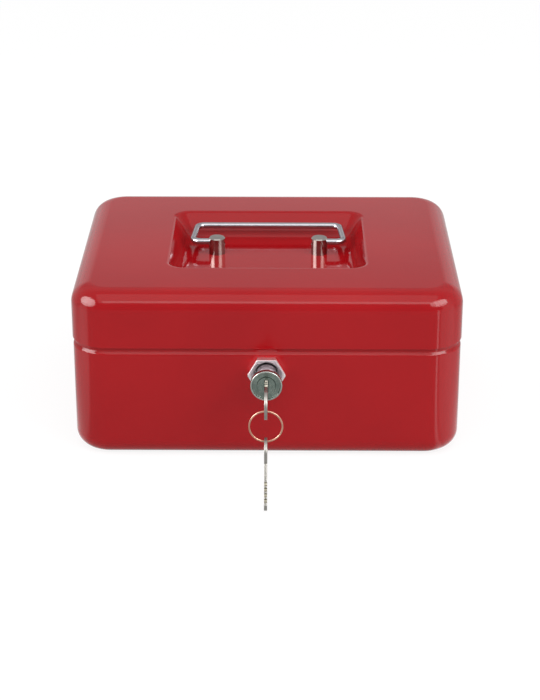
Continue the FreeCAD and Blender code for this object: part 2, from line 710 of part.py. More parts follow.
def make_key(label, at, turn):
    body = doc.addObject("PartDesign::Body", f"{label}_body")
    outline = new_sketch(body, f"{label}_outline", "YZ_Plane")
    key_outline(outline)
    pad(body, f"{label}_blank", outline, "key_thickness", midplane=True)
    place(body, at, turn)
    node(body, label)


def make_keys():
    """One key part way in the lock, the ring in its bow and the spare leaning from the ring to the table."""
    bow_end = f"{FRONT_WALL} - face_out + key_inserted - key_length"
    make_key("key", ("0", bow_end, "lock_height"), NO_TURN)
    hole_middle = f"{bow_end} + key_hole_wall + key_hole_radius"
    ring_top = "(lock_height - key_hole_radius + ring_wire_radius + ring_clearance)"
    ring_radius = "(ring_outer_diameter / 2 - ring_wire_radius)"
    ring = doc.addObject("Part::Torus", "ring_torus")
    bind(ring, {"Radius1": ring_radius, "Radius2": "ring_wire_radius", "Angle3": "360 - ring_mouth_angle"})
    place(ring, ("0", hole_middle, f"{ring_top} - {ring_radius}"), TURN_TO_Y)
    node(ring, "key_ring")
    ring_bottom = f"({ring_top} - 2 * {ring_radius})"
    lift = "(ring_wire_radius + ring_clearance + key_hole_wall)"
    lean = FreeCAD.Rotation(FreeCAD.Vector(1, 0, 0), -90 - size("spare_key_lean"))
    cuts_to_front = FreeCAD.Rotation(FreeCAD.Vector(0, 1, 0), 180)
    make_key("spare_key", ("0", f"{hole_middle} + {lift} * sin(spare_key_lean)",
                           f"{ring_bottom} + {lift} * cos(spare_key_lean)"), lean * cuts_to_front)


def make_tray():
    """Lift-out tray that hangs on the base's lip by its side flanges."""
    body = doc.addObject("PartDesign::Body", "coin_tray_body")
    middle = "(tray_back - tray_front) / 2"
    tub = rounded_sketch(body, "tray_outline", "tray_width", "tray_front + tray_back", "tray_corner",
                         "tray_floor_height", middle)
    pad(body, "tray_block", tub, f"{TRAY_TOP} - tray_floor_height")
    flange = rounded_sketch(body, "tray_flange_outline", "tray_flange_width", "tray_flange_length",
                            "tray_flange_corner", f"{LIP_TOP} + tray_seat_gap", middle)
    pad(body, "tray_flange", flange, "tray_flange_thickness")
    cavity = rounded_sketch(body, "tray_cavity_outline", "tray_width - 2 * tray_wall",
                            "tray_front + tray_back - 2 * tray_wall", "tray_inner_corner", TRAY_TOP, middle)
    pocket(body, "tray_cavity", cavity, f"{TRAY_TOP} - tray_floor_height - tray_wall")
    round_edges_at(body, "tray_floor_edge", size("tray_floor_height") + size("tray_wall"), "tray_floor_roll")
    node(body, "coin_tray")


def divider_plate(name, role, length, along, out):
    """An upright plate in the tray, its corners rounded so that they clear the rolled edge of the floor."""
    body = doc.addObject("PartDesign::Body", f"{name}_body")
    outline = new_sketch(body, f"{name}_outline", role,
                         {"x": along, "y": f"{DIVIDER_FOOT} + {DIVIDER_HEIGHT} / 2", "z": out})
    add_rounded_rectangle(outline, "plate", length, DIVIDER_HEIGHT, "tray_floor_roll - divider_gap")
    pad(body, name, outline, "tray_wall", midplane=True)
    return body


def divider_row(name, count, front, back):
    """The plates between a row of equal wells across the tray."""
    well = f"((tray_width - tray_wall * ({count} + 1)) / {count})"
    plates = []
    for number in range(1, int(size(count))):
        x = f"({number} - {count} / 2) * ({well} + tray_wall)"
        plates.append(divider_plate(f"{name}_{number}", "YZ_Plane", f"{back} - {front}",
                                    f"({front} + {back}) / 2", x))
    return plates


def make_dividers():
    """Loose plates that stand in the tray: one across, coin wells in front of it, larger wells behind."""
    across_middle = "(coin_well_length + 1.5 * tray_wall - tray_front)"
    across = divider_plate("divider_across", "XZ_Plane", "tray_width - 2 * tray_wall - 2 * divider_gap", "0",
                           f"-{across_middle}")
    clear = "(tray_wall / 2 + divider_gap)"
    coins = divider_row("coin_divider", "coin_well_count", "(tray_wall + divider_gap - tray_front)",
                        f"({across_middle} - {clear})")
    larges = divider_row("large_divider", "large_well_count", f"({across_middle} + {clear})",
                         "(tray_back - tray_wall - divider_gap)")
    node(group("divider_set", [across] + coins + larges), "tray_dividers")


def main():
    make_base_shell()
    make_lid_shell()
    make_lid_recess()
    make_handle_posts()
    make_handle()
    make_hinges()
    make_lock_housing()
    make_plunger()
    make_plug()
    make_catch()
    make_keys()
    make_tray()
    make_dividers()
    doc.recompute()
    failed = [thing.Label for thing in doc.Objects if {"Invalid", "Error"} & set(thing.State)]
    failed += [thing.Label for thing in nodes if thing.Shape.isNull() or not thing.Shape.isValid()]
    if failed:
        raise RuntimeError("failed objects: " + ", ".join(failed))
    os.makedirs("parts", exist_ok=True)
    for thing in nodes:
        thing.Shape.exportStep(f"parts/{thing.Label}.step")
        box = thing.Shape.BoundBox
        sides = (("x", box.XMin, box.XMax), ("y", box.YMin, box.YMax), ("z", box.ZMin, box.ZMax))
        spans = ", ".join(f"{letter} {low:.2f} to {high:.2f}" for letter, low, high in sides)
        solids = len(thing.Shape.Solids)
        print(f"{thing.Label}: {solids} solid, {thing.Shape.Volume / 1000:.3f} cm3, {spans}")


main()
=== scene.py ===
# %% [markdown]
# # A red steel cash box
# The object is a small money box of drawn sheet steel. A wire handle folds into a recess of the
# lid, a lock is pushed in to shut the box, and two keys hang on a ring. The CAD frame already
# holds every piece in its place, in metres, with the joints that move it. This lesson dresses
# that frame: it makes the visible surfaces again with rolled edges where the real ones have them,
# and gives each surface a finish.

# %% Load the frame
import math
import bmesh
import bpy
from mathutils import Matrix, Vector


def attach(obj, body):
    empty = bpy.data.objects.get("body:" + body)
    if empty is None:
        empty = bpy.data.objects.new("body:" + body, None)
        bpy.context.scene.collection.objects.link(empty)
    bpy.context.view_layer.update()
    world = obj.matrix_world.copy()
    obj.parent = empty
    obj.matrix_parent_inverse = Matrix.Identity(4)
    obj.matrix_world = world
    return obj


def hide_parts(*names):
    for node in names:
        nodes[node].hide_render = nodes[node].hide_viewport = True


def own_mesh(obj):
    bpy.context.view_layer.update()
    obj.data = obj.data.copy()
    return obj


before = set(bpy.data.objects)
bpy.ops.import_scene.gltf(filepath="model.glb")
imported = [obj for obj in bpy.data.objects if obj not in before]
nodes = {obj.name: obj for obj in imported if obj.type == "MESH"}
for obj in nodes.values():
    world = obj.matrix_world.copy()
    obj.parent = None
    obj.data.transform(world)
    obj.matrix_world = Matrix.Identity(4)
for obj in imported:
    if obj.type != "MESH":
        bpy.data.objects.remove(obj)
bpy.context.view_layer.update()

MM = 0.001
LOCK_HEIGHT = 48.2
HANDLE_AXIS_Y, HANDLE_AXIS_Z = 7.6, 86.15
print("millimetres: lock axis", LOCK_HEIGHT, "up, handle axis", HANDLE_AXIS_Z, "up")

# %% [markdown]
# ## Sockets as numbers
# A finish is a small program that runs at each point of a surface. Drawn as nodes it is slow to
# read, so this class wraps the output of a node and lets Python's own operators add Math nodes.
# The reflected forms make sums like 1 - mask work too.


# %% A socket that takes part in sums
def connect(tree, value, socket):
    """Links a wrapped output to a socket, or sets a plain value on it."""
    if isinstance(value, Signal):
        tree.links.new(value.socket, socket)
    else:
        socket.default_value = value


class Signal:
    """One output of a shader node."""

    def __init__(self, tree, socket):
        self.tree = tree
        self.socket = socket

    def math(self, operation, *values):
        node = self.tree.nodes.new("ShaderNodeMath")
        node.operation = operation
        for socket, value in zip(node.inputs, values):
            connect(self.tree, value, socket)
        return Signal(self.tree, node.outputs[0])

    def __add__(self, other):
        return self.math("ADD", self, other)

    def __radd__(self, other):
        return self.math("ADD", other, self)

    def __sub__(self, other):
        return self.math("SUBTRACT", self, other)

    def __rsub__(self, other):
        return self.math("SUBTRACT", other, self)

    def __mul__(self, other):
        return self.math("MULTIPLY", self, other)

    def largest(self, other):
        return self.math("MAXIMUM", self, other)

    def size(self):
        return self.math("ABSOLUTE", self)


print("sockets can be added, subtracted and multiplied")

# %% [markdown]
# ## One place where finishes are made
# Every finish reads Object coordinates, so a pattern keeps its real size and stays with its piece
# when that moves. One method adds any node: its settings first, then what goes into its sockets.
# The other methods are short names for what most of the finishes use. The studio's room is made
# by the same class, because a world is a node tree as well.


# %% The finish maker
class Finish:
    """The node tree of a material or a world in the making."""

    def __init__(self, owner, shader="Principled BSDF", place="Object"):
        owner.use_nodes = True
        self.owner = owner
        self.tree = owner.node_tree
        self.shader = self.tree.nodes[shader]
        self.place = self.add("ShaderNodeTexCoord", output=place)

    def add(self, kind, settings=None, sockets=None, output=0):
        node = self.tree.nodes.new(kind)
        for key, value in (settings or {}).items():
            setattr(node, key, value)
        for key, value in (sockets or {}).items():
            connect(self.tree, value, node.inputs[key])
        return Signal(self.tree, node.outputs[output])

    def vector(self, operation, first, second, output=0):
        return self.add("ShaderNodeVectorMath", {"operation": operation}, {0: first, 1: second}, output)

    def part(self, vector, letter):
        return self.add("ShaderNodeSeparateXYZ", None, {0: vector}, letter)

    def noise(self, scale, detail=2.0, roughness=0.5, vector=None):
        sockets = {"Vector": vector or self.place, "Scale": scale, "Detail": detail, "Roughness": roughness}
        return self.add("ShaderNodeTexNoise", None, sockets, "Fac")

    def mask(self, signal, low, high):
        """0 below low, 1 above high, smooth between."""
        return self.add("ShaderNodeMapRange", {"interpolation_type": "SMOOTHSTEP"},
                        {"Value": signal, "From Min": low, "From Max": high})

    def mix(self, factor, first, second):
        return self.add("ShaderNodeMix", {"data_type": "RGBA"}, {0: factor, 6: first, 7: second}, 2)

    def bump(self, height, distance):
        return self.add("ShaderNodeBump", None, {"Height": height, "Strength": 1.0, "Distance": distance})

    def surface(self, **sockets):
        for name, value in sockets.items():
            connect(self.tree, value, self.shader.inputs[name.replace("_", " ")])
        return self.owner


def new_finish(name):
    return Finish(bpy.data.materials.new(name))


print("finish maker ready")

# %% [markdown]
# ## Baked red enamel
# The case is stove enamelled: a deep red coat, glossy enough to mirror the posts in the floor of
# the recess. A flat red with a gloss would look like plastic, so three things are layered: a slow
# drift of the colour, the faint ripple that painters call orange peel, and a few dust nibs. The
# lid's top looks paler than the front only because it mirrors the studio at a flat angle.

# %% Enamel finish
enamel = new_finish("red_enamel")
drift = enamel.noise(14.0, 3.0)
DEEP_RED = (0.288, 0.0030, 0.0056, 1)
WARM_RED = (0.318, 0.0040, 0.0066, 1)
NIB_RED = (0.42, 0.07, 0.07, 1)
red = enamel.mix(enamel.mask(drift, 0.3, 0.7), DEEP_RED, WARM_RED)
nibs = enamel.mask(enamel.noise(2600.0, 1.0), 0.82, 0.86)
peel = enamel.noise(330.0, 2.0, 0.45)
handling = enamel.mask(enamel.noise(38.0, 4.0, 0.6), 0.50, 0.80)
red_enamel = enamel.surface(
    Base_Color=enamel.mix(nibs * 0.2, red, NIB_RED),
    Roughness=0.085 + handling * 0.03 + peel * 0.02,
    Normal=enamel.bump(peel + nibs * 0.5, 0.000008),
    IOR=1.34,
)
print("finish:", red_enamel.name, len(enamel.tree.nodes), "nodes")

# %% [markdown]
# ## Plated metals
# Handle, posts, lock, keys and ring are all plated, but not alike. Drawn wire has streaks along
# its length, turned parts have rings round their axis, and stamped parts have a fine grain. Each
# finish is a metal with its own streaks in the roughness and in a very small bump.

# %% Handle wire: bright plated, drawn
wire = new_finish("bright_wire")
draw_lines = wire.noise(1.0, 3.0, 0.6, wire.vector("MULTIPLY", wire.place, (40.0, 900.0, 900.0)))
smears = wire.noise(160.0, 3.0)
bright_wire = wire.surface(
    Base_Color=wire.mix(smears, (0.38, 0.365, 0.39, 1), (0.43, 0.415, 0.44, 1)),
    Metallic=1.0,
    Roughness=0.20 + draw_lines * 0.04 + smears * 0.02,
    Normal=wire.bump(draw_lines, 0.000003),
)
print("finish:", bright_wire.name)


# %% Turned parts: rings round an axis
# painted highlight: a lighter colour for the raised rim of the lock's head, where the rounded rim catches
# the light
RIM_HIGHLIGHT = (0.37, 0.41, 0.38, 1)
RIM_BLUR = 0.3 * MM


def turned_finish(name, dark, light, axis, centre, rough, ring_scale, rim=None):
    """Plated metal with lathe rings about an axis; beyond the radius rim it is painted lighter, a painted
    highlight on the raised rim.
    """
    finish = new_finish(name)
    along_axis = tuple(1.0 if letter == axis else 0.0 for letter in "XYZ")
    across_axis = tuple(1.0 - value for value in along_axis)
    flat = finish.vector("MULTIPLY", finish.vector("SUBTRACT", finish.place, centre), across_axis)
    radius = finish.vector("LENGTH", flat, (0, 0, 0), "Value")
    along = finish.vector("DOT_PRODUCT", finish.place, along_axis, "Value")
    lathe = finish.add("ShaderNodeCombineXYZ", None, {"X": radius * ring_scale, "Y": along * ring_scale})
    rings = finish.noise(1.0, 4.0, 0.65, lathe)
    tarnish = finish.noise(220.0, 4.0, 0.6)
    colour = finish.mix(finish.mask(tarnish, 0.35, 0.7), dark, light)
    if rim:
        # painted highlight: beyond the radius rim the colour turns lighter all round
        colour = finish.mix(finish.mask(radius, rim - RIM_BLUR, rim), colour, RIM_HIGHLIGHT)
    return finish.surface(
        Base_Color=colour,
        Metallic=1.0,
        Roughness=rough + rings * 0.06 + tarnish * 0.04,
        Normal=finish.bump(rings, 0.000006),
    )


LOCK_CENTRE = (0.0, 0.0, LOCK_HEIGHT * MM)
HEAD_RIM = 6.9 * MM
POST_AT = 27.75
lock_satin = turned_finish("lock_satin", (0.17, 0.225, 0.20, 1), (0.26, 0.32, 0.285, 1), "Y",
                           LOCK_CENTRE, 0.22, 2600.0, HEAD_RIM)
lock_bright = turned_finish("lock_bright", (0.60, 0.56, 0.58, 1), (0.70, 0.66, 0.68, 1), "Y",
                            LOCK_CENTRE, 0.05, 1800.0)
bezel_chrome = turned_finish("bezel_chrome", (0.80, 0.75, 0.76, 1), (0.90, 0.85, 0.86, 1), "Y",
                             LOCK_CENTRE, 0.34, 1800.0)
post_turned = {
    side: turned_finish(f"post_turned_{side}", (0.32, 0.29, 0.27, 1), (0.40, 0.37, 0.34, 1), "Z",
                        (sign * POST_AT * MM, HANDLE_AXIS_Y * MM, 0.0), 0.05, 2400.0)
    for side, sign in (("left", -1), ("right", 1))
}
print("finish:", lock_satin.name, lock_bright.name, bezel_chrome.name, len(post_turned), "posts")


# %% Stamped, rolled and moulded parts
def grained_finish(name, dark, light, rough, grain_scale, metallic=1.0):
    finish = new_finish(name)
    grit = finish.noise(grain_scale, 3.0, 0.6)
    cloud = finish.noise(90.0, 4.0, 0.6)
    return finish.surface(
        Base_Color=finish.mix(finish.mask(cloud, 0.3, 0.7), dark, light),
        Metallic=metallic,
        Roughness=rough + grit * 0.12 + cloud * 0.06,
        Normal=finish.bump(grit, 0.00001),
    )


ring_steel = grained_finish("ring_steel", (0.48, 0.25, 0.17, 1), (0.60, 0.35, 0.26, 1), 0.22, 1600.0)
zinc = grained_finish("zinc_plate", (0.42, 0.43, 0.43, 1), (0.58, 0.58, 0.57, 1), 0.28, 500.0)
wafer_brass = grained_finish("wafer_brass", (0.30, 0.11, 0.07, 1), (0.42, 0.18, 0.11, 1), 0.26, 900.0)
tray_plastic = grained_finish("tray_plastic", (0.016, 0.016, 0.017, 1), (0.024, 0.024, 0.026, 1), 0.42,
                              2400.0, 0.0)
print("finish:", ring_steel.name, zinc.name, wafer_brass.name, tray_plastic.name)

# %% [markdown]
# ## Nickel keys with cuts through the plating
# A key blank is plated first and cut to its lock afterwards, so the brass core shows in the cuts.
# One key stands level and the other leans, so Object coordinates would put the pattern in two
# places. The keys carry a UV map instead, which is simply their side view in centimetres: along
# the key from the end of the bow, and up from its middle line. The groove along the blade and the
# sunk panel on the bow are drawn as height from the same two numbers.

# %% Key finish
BRASS = (0.32, 0.30, 0.24, 1)
NICKEL_DARK, NICKEL_LIGHT = (0.31, 0.30, 0.28, 1), (0.39, 0.375, 0.345, 1)
key = new_finish("key_nickel")
plan = key.add("ShaderNodeUVMap", {"uv_map": "side_view"})
along_key = key.part(plan, "X")
up_key = key.part(plan, "Y")
side_facing = key.mask(key.part(key.add("ShaderNodeNewGeometry", output="Normal"), "X").size(), 0.5, 0.8)
in_cuts = key.mask(along_key, 2.15, 2.22) * (1.0 - key.mask(along_key, 3.19, 3.26))
below_crest = 1.0 - key.mask(up_key, 0.285, 0.305)
above_blade = key.mask(up_key, 0.10, 0.12)
bare_brass = in_cuts * below_crest * above_blade * (1.0 - side_facing)
on_blade = key.mask(along_key, 1.55, 1.62) * (1.0 - key.mask(along_key, 3.45, 3.55))
groove = on_blade * (1.0 - key.mask((up_key + 0.05).size(), 0.05, 0.075))
from_bow = key.vector("DISTANCE", plan, (0.72, 0.0, 0.0), "Value")
panel = (1.0 - key.mask(from_bow, 0.50, 0.54)) * key.mask(along_key, 0.74, 0.79)
scuffs = key.noise(900.0, 3.0, 0.6)
cloud = key.noise(120.0, 4.0, 0.6)
nickel = key.mix(key.mask(cloud, 0.3, 0.7), NICKEL_DARK, NICKEL_LIGHT)
key_nickel = key.surface(
    Base_Color=key.mix(bare_brass, nickel, BRASS),
    Metallic=1.0,
    Roughness=0.28 + scuffs * 0.10 + cloud * 0.06 + bare_brass * 0.15,
    Normal=key.bump(scuffs * 0.02 - (groove + panel) * side_facing, 0.00035),
)
print("finish:", key_nickel.name, len(key.tree.nodes), "nodes")

# %% [markdown]
# ## Profiles with rolled edges
# Sheet steel and turned metal have no sharp edges: each bend has a radius, and the light lives on
# it. So most pieces start from a profile, a short list of corners with a radius each. This helper
# replaces a corner by an arc, and puts a point close before and after it so that the flat beside
# it stays flat in the shading.


# %% Round a profile's corners
def rounded(corners, steps=8):
    """(a, b, radius) corners to (a, b) points; the first and last corners stay as they are."""
    points = [Vector(corner[:2]) for corner in corners]
    radii = [corner[2] if len(corner) > 2 else 0.0 for corner in corners]
    result = [points[0]]
    for before, corner, after, radius in zip(points, points[1:], points[2:], radii[1:]):
        if radius <= 0.0:
            result.append(corner)
            continue
        into, onward = before - corner, after - corner
        half = into.angle(onward) / 2
        reach = radius / math.tan(half)
        support = min(0.12, 0.2 * radius + 0.02)
        centre = corner + (into.normalized() + onward.normalized()).normalized() * (radius / math.sin(half))
        first = corner + into.normalized() * reach - centre
        last = corner + onward.normalized() * reach - centre
        start = math.atan2(first.y, first.x)
        turn = math.atan2(last.y, last.x) - start
        turn = (turn + math.pi) % (2 * math.pi) - math.pi
        result.append(corner + into.normalized() * min(reach + support, into.length * 0.98))
        for step in range(steps + 1):
            angle = start + turn * step / steps
            result.append(centre + Vector((math.cos(angle), math.sin(angle))) * radius)
        result.append(corner + onward.normalized() * min(reach + support, onward.length * 0.98))
    result.append(points[-1])
    return [(point.x, point.y) for point in result]


print("a square corner with a radius becomes", len(rounded([(0, 0), (5, 0, 1), (5, 5)])), "points")

# %% [markdown]
# ## From loops to a piece
# A drawn shell is a stack of closed loops, and so is a turned part. One helper skins a stack with
# quads and shuts its ends. Another welds a shape, turns its faces outwards, makes it smooth except
# at steep edges and counts the edges that don't have two faces, which must be none. The last gives
# a mesh its finish and the body that it moves with, and hides the CAD nodes that it stands for.


# %% Skin, close and set a piece
def skin(name, loops, ring=False):
    """A mesh through loops of equal length; a loop of one point is a tip, ring joins the ends."""
    shape = bmesh.new()
    rows = [[shape.verts.new(Vector(point) * MM) for point in loop] for loop in loops]
    pairs = list(zip(rows, rows[1:])) + ([(rows[-1], rows[0])] if ring else [])
    for low, high in pairs:
        count = max(len(low), len(high))
        for index in range(count):
            following = (index + 1) % count
            corners = (low[index % len(low)], low[following % len(low)],
                       high[following % len(high)], high[index % len(high)])
            shape.faces.new(dict.fromkeys(corners))
    for row in () if ring else (rows[0], rows[-1]):
        if len(row) > 1:
            shape.faces.new(row)
    mesh = bpy.data.meshes.new(name)
    shape.to_mesh(mesh)
    shape.free()
    return close_up(mesh)


def close_up(mesh, sharp=35.0):
    shape = bmesh.new()
    shape.from_mesh(mesh)
    bmesh.ops.remove_doubles(shape, verts=shape.verts, dist=0.000001)
    bmesh.ops.dissolve_degenerate(shape, edges=shape.edges, dist=0.0000005)
    bmesh.ops.recalc_face_normals(shape, faces=shape.faces)
    for face in shape.faces:
        face.smooth = True
    for edge in shape.edges:
        edge.smooth = edge.calc_face_angle(0.0) < math.radians(sharp)
    open_edges = sum(not edge.is_manifold for edge in shape.edges)
    shape.to_mesh(mesh)
    shape.free()
    print("mesh:", mesh.name, len(mesh.polygons), "faces,", open_edges, "open edges")
    return mesh


def set_piece(mesh, material, body, slot, *stands_for):
    piece = bpy.data.objects.new(mesh.name, mesh)
    bpy.context.scene.collection.objects.link(piece)
    mesh.materials.clear()
    mesh.materials.append(material)
    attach(piece, body)
    if stands_for:
        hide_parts(*stands_for)
    print("piece:", piece.name, "on", body)
    return piece


# %% [markdown]
# ## The case as stacked rounded rectangles
# Lid and base are drawn from one sheet each, so every level of them is a rounded rectangle. A
# profile says how far each level is set in from the outline and how high it lies, and the corner
# radius shrinks with the inset as in a press tool. This keeps the big flats truly flat and gives
# the rolled edges an even row of faces, which a cube with a Bevel modifier would not do where
# three edges meet.


# %% Rounded rectangle levels
CORNER_STEPS = 16


def level(half_x, half_y, radius, centre_y, height):
    points = []
    for quarter, (side_x, side_y) in enumerate(((1, 1), (-1, 1), (-1, -1), (1, -1))):
        for step in range(CORNER_STEPS + 1):
            angle = math.radians(90 * (quarter + step / CORNER_STEPS))
            points.append((side_x * (half_x - radius) + radius * math.cos(angle),
                           centre_y + side_y * (half_y - radius) + radius * math.sin(angle), height))
    return points


def case_levels(half_x, half_y, radius, profile):
    return [level(half_x - inset, half_y - inset, max(radius - inset, 0.4), 0.0, height)
            for inset, height in profile]


print("a level has", len(level(10, 10, 1, 0, 0)), "points")

# %% [markdown]
# ## The base and its lip
# Under the lid the base's wall rolls in to a shoulder and goes up again as a lip that the lid
# fits over. That roll catches the light as the thin pale line below the dark gap. The lock goes
# through a hole in the front, which a cylinder cuts out with a Boolean: the hole crosses flat
# sheet only, so nothing of the shading is lost.

# %% Base tub
FRONT_WALL = -79.7
SHEET = 0.8


def cut_lock_hole(mesh, radius):
    """The mesh with a round hole through its front wall, as a new plain mesh."""
    middle = Matrix.Translation(Vector((0.0, FRONT_WALL, LOCK_HEIGHT)) * MM)
    drill = bpy.data.meshes.new("drill")
    shape = bmesh.new()
    bmesh.ops.create_cone(shape, cap_ends=True, segments=64, radius1=radius * MM, radius2=radius * MM,
                          depth=6.0 * MM, matrix=middle @ Matrix.Rotation(math.pi / 2, 4, "X"))
    shape.to_mesh(drill)
    shape.free()
    tool = bpy.data.objects.new("drill", drill)
    work = bpy.data.objects.new("work", mesh)
    for thing in (tool, work):
        bpy.context.scene.collection.objects.link(thing)
    modifier = work.modifiers.new("hole", "BOOLEAN")
    modifier.operation = "DIFFERENCE"
    modifier.object = tool
    result = bpy.data.meshes.new_from_object(work.evaluated_get(bpy.context.evaluated_depsgraph_get()))
    for thing in (tool, work):
        bpy.data.objects.remove(thing)
    for used in (drill, mesh):
        bpy.data.meshes.remove(used)
    return result


LIP_INSET, LIP_TOP = 1.1, 65.3
FLOOR_INSET = 17.5
base_profile = rounded([(FLOOR_INSET, 0.0), (0.0, 0.0, 8.6), (0.0, 57.0, 1.6), (LIP_INSET, 58.4, 0.3),
                        (LIP_INSET, LIP_TOP, 0.25), (LIP_INSET + SHEET, LIP_TOP, 0.25),
                        (LIP_INSET + SHEET, 57.9, 0.15), (SHEET, 56.4, 0.15), (SHEET, SHEET, 7.8),
                        (FLOOR_INSET, SHEET)], 10)
base_mesh = cut_lock_hole(skin("tub_blank", case_levels(99.7, 79.7, 18.7, base_profile)), 7.5)
base_mesh.name = "base_tub"
set_piece(close_up(base_mesh), red_enamel, "base", "red_paint", "base_shell")

# %% [markdown]
# ## The lid and its recess
# The lid is the same stack turned over, and it goes on: from the flat top the sheet rolls down
# into the recess for the handle, whose long walls lean more than its short ones. The recess has
# its own rule for the levels, and the sheet's underside follows the same path a sheet lower.


# %% Lid shell
LID_TOP, LID_EDGE = 90.0, 60.5
RECESS_FLOOR, RECESS_SLOPE = 79.5, 8.75


def recess_levels(skin_out, profile):
    loops = []
    for inset, height in profile:
        share = inset / RECESS_SLOPE
        loops.append(level(52.0 + skin_out - 7.5 * share, 43.5 + skin_out - 10.0 * share,
                           9.0 + skin_out - 3.0 * share, 2.0, height))
    return loops


under_recess = rounded([(15.0, RECESS_FLOOR - SHEET), (RECESS_SLOPE, RECESS_FLOOR - SHEET, 9.3),
                        (0.0, LID_TOP - SHEET, 1.7), (-5.0, LID_TOP - SHEET)], 14)
lid_walls = rounded([(12.0, LID_TOP - SHEET), (SHEET, LID_TOP - SHEET, 9.7), (SHEET, LID_EDGE, 0.35),
                     (0.0, LID_EDGE, 0.35), (0.0, LID_TOP, 10.5), (12.0, LID_TOP)], 18)
in_recess = rounded([(-5.0, LID_TOP), (0.0, LID_TOP, 2.5), (RECESS_SLOPE, RECESS_FLOOR, 8.5),
                     (15.0, RECESS_FLOOR)], 14)
lid_mesh = skin("lid_cover", recess_levels(1.0, under_recess) + case_levels(100.0, 80.0, 19.0, lid_walls)
                + recess_levels(0.0, in_recess))
set_piece(lid_mesh, red_enamel, "lid", "red_paint", "lid_shell", "lid_recess")

# %% [markdown]
# ## Trees that grow pieces
# Wire, rivets, the split ring and the lock's spring follow a path or repeat, so Geometry Nodes make
# them: the tree is short and its sizes are named inputs. These helpers start a tree, add a node, end
# a tree with Realize Instances and Set Material, and run it on a few points to get a plain mesh.


# %% Tree helpers
def new_tree(name, inputs):
    """A geometry tree with named inputs; returns it with its two group nodes."""
    tree = bpy.data.node_groups.new(name, "GeometryNodeTree")
    tree.interface.new_socket("Geometry", in_out="INPUT", socket_type="NodeSocketGeometry")
    for label, kind in {**inputs, "Material": "Material"}.items():
        tree.interface.new_socket(label, in_out="INPUT", socket_type="NodeSocket" + kind)
    tree.interface.new_socket("Geometry", in_out="OUTPUT", socket_type="NodeSocketGeometry")
    return tree, tree.nodes.new("NodeGroupInput"), tree.nodes.new("NodeGroupOutput")


def tree_node(tree, kind, settings=None, sockets=None):
    """Adds a node and returns its first output; a socket takes an output or a plain value."""
    node = tree.nodes.new(kind)
    for key, value in (settings or {}).items():
        setattr(node, key, value)
    for key, value in (sockets or {}).items():
        if isinstance(value, bpy.types.NodeSocket):
            tree.links.new(value, node.inputs[key])
        else:
            node.inputs[key].default_value = value
    return node.outputs[0]


def end_tree(tree, geometry, group_in, group_out):
    soft = tree_node(tree, "GeometryNodeSetShadeSmooth", None, {"Geometry": geometry})
    real = tree_node(tree, "GeometryNodeRealizeInstances", None, {"Geometry": soft})
    dressed = tree_node(tree, "GeometryNodeSetMaterial", None,
                        {"Geometry": real, "Material": group_in.outputs["Material"]})
    tree.links.new(dressed, group_out.inputs[0])


def grow(name, tree, points, edges, values):
    """Runs a tree on a bare path or cloud of points in millimetres and returns a plain mesh."""
    seed = bpy.data.meshes.new(name + "_seed")
    seed.from_pydata([Vector(point) * MM for point in points], edges, [])
    carrier = bpy.data.objects.new(name, seed)
    bpy.context.scene.collection.objects.link(carrier)
    modifier = carrier.modifiers.new("grow", "NODES")
    modifier.node_group = tree
    for item in tree.interface.items_tree:
        if item.in_out == "INPUT" and item.name in values:
            modifier[item.identifier] = values[item.name]
    evaluated = carrier.evaluated_get(bpy.context.evaluated_depsgraph_get())
    mesh = bpy.data.meshes.new_from_object(evaluated)
    mesh.name = name
    bpy.data.objects.remove(carrier)
    bpy.data.meshes.remove(seed)
    return mesh


print("tree helpers ready")

# %% [markdown]
# ## The bent wire handle
# The handle is one wire with four bends. A path of six points is all it needs: Fillet Curve rounds
# the corners and Curve to Mesh draws the wire along the path. A bevelled curve object would do the
# same, but the tree keeps the wire's and the bends' radii as inputs.

# %% Handle
bent_wire, wire_in, wire_out = new_tree("bent_wire", {
    "Wire Radius": "Float", "Bend Radius": "Float", "Bend Steps": "Int", "Round Steps": "Int"})
path = tree_node(bent_wire, "GeometryNodeMeshToCurve", None, {"Mesh": wire_in.outputs["Geometry"]})
bends = tree_node(bent_wire, "GeometryNodeFilletCurve", {"mode": "POLY"}, {
    "Curve": path, "Count": wire_in.outputs["Bend Steps"], "Radius": wire_in.outputs["Bend Radius"]})
section = tree_node(bent_wire, "GeometryNodeCurvePrimitiveCircle", None, {
    "Resolution": wire_in.outputs["Round Steps"], "Radius": wire_in.outputs["Wire Radius"]})
drawn = tree_node(bent_wire, "GeometryNodeCurveToMesh", None, {
    "Curve": bends, "Profile Curve": section, "Fill Caps": True})
end_tree(bent_wire, drawn, wire_in, wire_out)

HANDLE_CORNERS = ((-24.55, 0.0), (-41.1, 0.0), (-39.3, 25.6), (39.3, 25.6), (41.1, 0.0), (24.55, 0.0))
handle_path = [(x, HANDLE_AXIS_Y + y, HANDLE_AXIS_Z) for x, y in HANDLE_CORNERS]
handle_mesh = grow("handle_wire", bent_wire, handle_path, [(n, n + 1) for n in range(5)], {
    "Wire Radius": 1.7 * MM, "Bend Radius": 4.2 * MM, "Bend Steps": 14, "Round Steps": 32,
    "Material": bright_wire})
set_piece(close_up(handle_mesh), bright_wire, "handle", "bright_wire", "handle")

# %% [markdown]
# ## The pushed lock
# The lock is a turned barrel that comes out of a dished six-sided bezel and carries a round head.
# All but the six sides is round about one axis, so each piece is a profile of radius and distance
# from the front wall, spun round. The bezel uses the same spin, with a radius that follows a
# hexagon on its outer rows and draws in towards the wall, so that little of its top is seen from
# above. A dark ring shows where the barrel slides in its sleeve.


# %% Spin a profile round the lock's axis
SPIN_STEPS = 144


def lock_loop(radius_at, out):
    """A loop about the lock's axis at a distance out of the wall."""
    loop = []
    for step in range(SPIN_STEPS):
        angle = 2 * math.pi * step / SPIN_STEPS
        radius = radius_at(angle)
        loop.append((radius * math.cos(angle), FRONT_WALL - out, LOCK_HEIGHT + radius * math.sin(angle)))
    return loop


